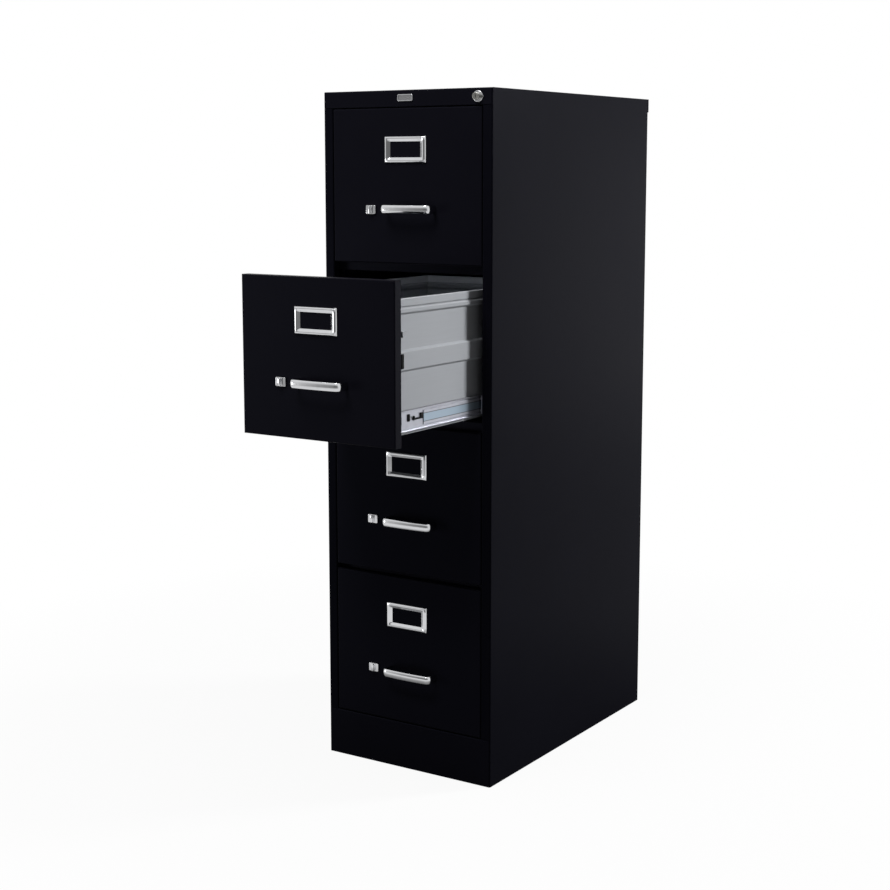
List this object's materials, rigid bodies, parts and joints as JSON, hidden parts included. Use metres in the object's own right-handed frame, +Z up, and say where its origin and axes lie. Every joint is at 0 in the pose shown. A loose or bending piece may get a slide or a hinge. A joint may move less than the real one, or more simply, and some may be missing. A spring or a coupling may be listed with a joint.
{
  "type": "filing cabinet",
  "caption": "Tall narrow filing cabinet with stacked full-width drawers, strap handles, label holders, thumb latches and a push lock.",
  "frame": {"origin": "centre of the case's footprint on the floor, on the underside of the bottom panel", "axes": "+Z up, drawers open towards -Y, +X to the right as seen from the front"},
  "size_m": [0.381, 0.948, 1.321],
  "materials": {
    "black_paint": "satin black textured powder coat",
    "drawer_paint": "satin light grey enamel",
    "inner_paint": "satin black primer coat inside the case",
    "chrome": "bright chrome plating",
    "slide_zinc": "bright zinc plating on rolled steel",
    "mid_zinc": "blue passivated zinc plating",
    "fastener_zinc": "zinc plated fasteners",
    "badge_grey": "plain grey lacquered field",
    "lock_nickel": "nickel plated key core"
  },
  "bodies": {
    "case": {"left_side_panel": "black_paint", "right_side_panel": "black_paint", "top_panel": "black_paint", "base_panel": "black_paint", "bottom_panel": "black_paint", "back_panel": "black_paint", "front_uprights": "inner_paint", "rear_uprights": "inner_paint", "top_cross_rail": "inner_paint", "divider_rails": "inner_paint", "case_slide_channels": "slide_zinc", "case_slide_rivets": "fastener_zinc", "badge_frame": "chrome", "badge_field": "badge_grey", "lock_bezel": "chrome", "lock_bar_guides": "inner_paint"},
    "drawer_1": {"drawer_1_front": "black_paint", "drawer_1_tray": "drawer_paint", "drawer_1_back": "drawer_paint", "drawer_1_handle": "chrome", "drawer_1_label_holder": "chrome", "drawer_1_slide_channels": "slide_zinc", "drawer_1_fasteners": "fastener_zinc"},
    "latch_1": {"drawer_1_latch_button": "chrome", "drawer_1_latch_bolt": "fastener_zinc"},
    "mid_slides_1": {"drawer_1_mid_slides": "mid_zinc"},
    "drawer_2": {"drawer_2_front": "black_paint", "drawer_2_tray": "drawer_paint", "drawer_2_back": "drawer_paint", "drawer_2_handle": "chrome", "drawer_2_label_holder": "chrome", "drawer_2_slide_channels": "slide_zinc", "drawer_2_fasteners": "fastener_zinc"},
    "latch_2": {"drawer_2_latch_button": "chrome", "drawer_2_latch_bolt": "fastener_zinc"},
    "mid_slides_2": {"drawer_2_mid_slides": "mid_zinc"},
    "drawer_3": {"drawer_3_front": "black_paint", "drawer_3_tray": "drawer_paint", "drawer_3_back": "drawer_paint", "drawer_3_handle": "chrome", "drawer_3_label_holder": "chrome", "drawer_3_slide_channels": "slide_zinc", "drawer_3_fasteners": "fastener_zinc"},
    "latch_3": {"drawer_3_latch_button": "chrome", "drawer_3_latch_bolt": "fastener_zinc"},
    "mid_slides_3": {"drawer_3_mid_slides": "mid_zinc"},
    "drawer_4": {"drawer_4_front": "black_paint", "drawer_4_tray": "drawer_paint", "drawer_4_back": "drawer_paint", "drawer_4_handle": "chrome", "drawer_4_label_holder": "chrome", "drawer_4_slide_channels": "slide_zinc", "drawer_4_fasteners": "fastener_zinc"},
    "latch_4": {"drawer_4_latch_button": "chrome", "drawer_4_latch_bolt": "fastener_zinc"},
    "mid_slides_4": {"drawer_4_mid_slides": "mid_zinc"},
    "plunger": {"lock_plunger": "chrome"},
    "key_core": {"lock_core": "lock_nickel"},
    "locking_bar": {"lock_bar": "fastener_zinc"}
  },
  "joints": [
    {"name": "drawer_1_travel", "type": "slide", "parent": "case", "child": "drawer_1", "axis": [0, -1, 0], "range_m": [0, 0.56]},
    {"name": "mid_slides_1_travel", "type": "slide", "parent": "case", "child": "mid_slides_1", "axis": [0, -1, 0], "range_m": [0, 0.28]},
    {"name": "latch_1_thumb", "type": "slide", "parent": "drawer_1", "child": "latch_1", "axis": [1, 0, 0], "range_m": [0, 0.007], "stiffness_N_per_m": 250, "springref_m": -0.006},
    {"name": "drawer_2_travel", "type": "slide", "parent": "case", "child": "drawer_2", "axis": [0, -1, 0], "range_m": [-0.281, 0.279]},
    {"name": "mid_slides_2_travel", "type": "slide", "parent": "case", "child": "mid_slides_2", "axis": [0, -1, 0], "range_m": [-0.1405, 0.1395]},
    {"name": "latch_2_thumb", "type": "slide", "parent": "drawer_2", "child": "latch_2", "axis": [1, 0, 0], "range_m": [0, 0.007], "stiffness_N_per_m": 250, "springref_m": -0.006},
    {"name": "drawer_3_travel", "type": "slide", "parent": "case", "child": "drawer_3", "axis": [0, -1, 0], "range_m": [0, 0.56]},
    {"name": "mid_slides_3_travel", "type": "slide", "parent": "case", "child": "mid_slides_3", "axis": [0, -1, 0], "range_m": [0, 0.28]},
    {"name": "latch_3_thumb", "type": "slide", "parent": "drawer_3", "child": "latch_3", "axis": [1, 0, 0], "range_m": [0, 0.007], "stiffness_N_per_m": 250, "springref_m": -0.006},
    {"name": "drawer_4_travel", "type": "slide", "parent": "case", "child": "drawer_4", "axis": [0, -1, 0], "range_m": [0, 0.56]},
    {"name": "mid_slides_4_travel", "type": "slide", "parent": "case", "child": "mid_slides_4", "axis": [0, -1, 0], "range_m": [0, 0.28]},
    {"name": "latch_4_thumb", "type": "slide", "parent": "drawer_4", "child": "latch_4", "axis": [1, 0, 0], "range_m": [0, 0.007], "stiffness_N_per_m": 250, "springref_m": -0.006},
    {"name": "lock_push", "type": "slide", "parent": "case", "child": "plunger", "axis": [0, 1, 0], "range_m": [0, 0.008], "stiffness_N_per_m": 400, "springref_m": -0.006},
    {"name": "key_turn", "type": "hinge", "parent": "plunger", "child": "key_core", "pos_m": [0.16, -0.3275, 1.30525], "axis": [0, 1, 0], "range_deg": [0, 90]},
    {"name": "lock_bar_lift", "type": "slide", "parent": "case", "child": "locking_bar", "axis": [0, 0, 1], "range_m": [0, 0.008]}
  ],
  "couplings": [
    {"joint": "mid_slides_1_travel", "follows": "drawer_1_travel", "ratio": 0.5},
    {"joint": "mid_slides_2_travel", "follows": "drawer_2_travel", "ratio": 0.5},
    {"joint": "mid_slides_3_travel", "follows": "drawer_3_travel", "ratio": 0.5},
    {"joint": "mid_slides_4_travel", "follows": "drawer_4_travel", "ratio": 0.5},
    {"joint": "lock_bar_lift", "follows": "lock_push", "ratio": 1}
  ]
}
